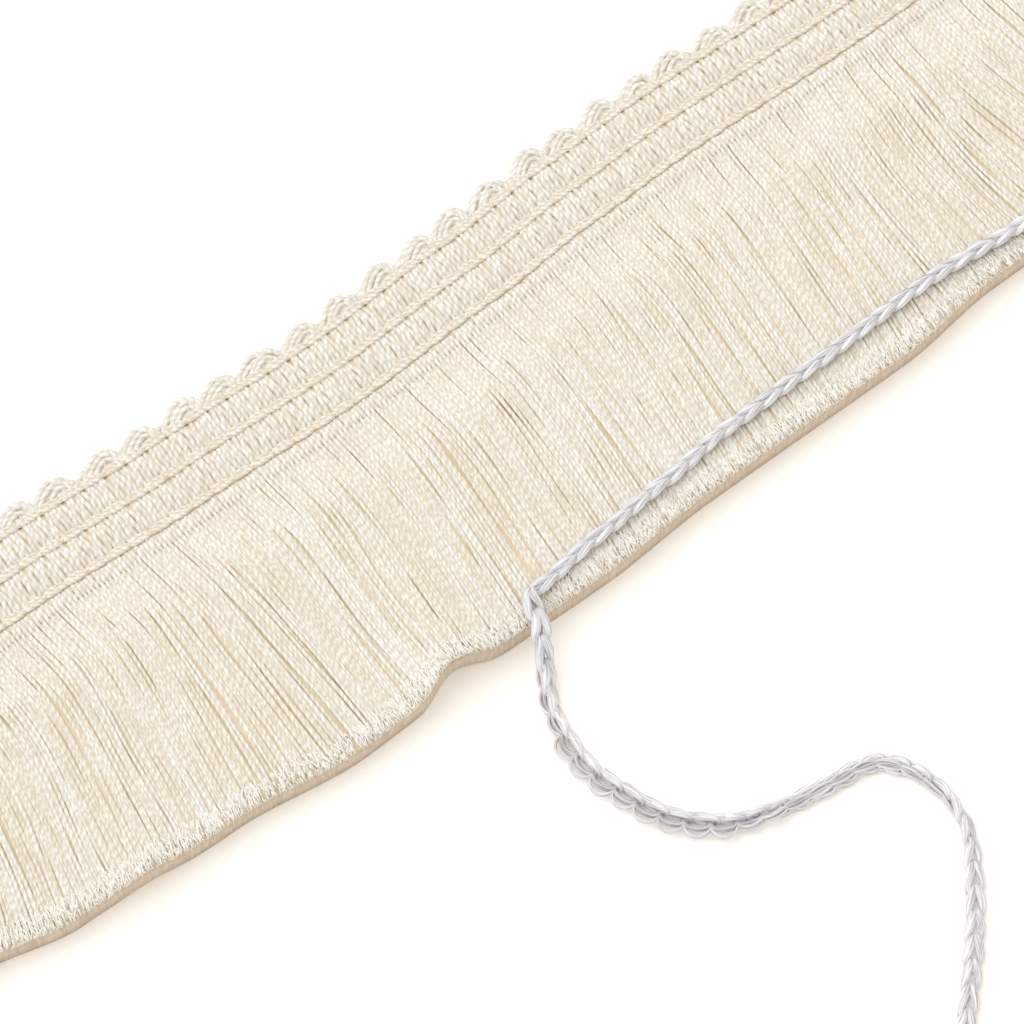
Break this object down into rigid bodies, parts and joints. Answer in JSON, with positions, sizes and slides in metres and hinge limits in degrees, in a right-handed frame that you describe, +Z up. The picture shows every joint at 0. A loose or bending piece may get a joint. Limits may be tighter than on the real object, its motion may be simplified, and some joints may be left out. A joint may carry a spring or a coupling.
{
  "type": "brush fringe trim",
  "caption": "Cream brush fringe trim, a cut length with a picot heading in chain stitch and a white pull chain half drawn out of the fringe.",
  "frame": {"origin": "under the middle of the trim's box without the loose thread, on the surface that it lies on", "axes": "+X along the trim, +Y from the cut ends of the fringe to the picot edge, +Z up from the surface"},
  "size_m": [0.1875, 0.1242, 0.0061],
  "materials": {
    "fringe_yarn": "matt twisted two-ply yarn",
    "chain_thread": "matt twisted thread",
    "pull_thread": "lustrous filament thread"
  },
  "bodies": {
    "root": {"heading_band": "fringe_yarn", "picot_edge": "fringe_yarn", "heading_chain_top": "chain_thread", "heading_chain_middle": "chain_thread", "heading_chain_lower": "chain_thread", "fringe_upper": "fringe_yarn", "fringe_lower": "fringe_yarn", "pull_chain": "pull_thread", "pull_chain_loose_end": "pull_thread"}
  },
  "joints": []
}
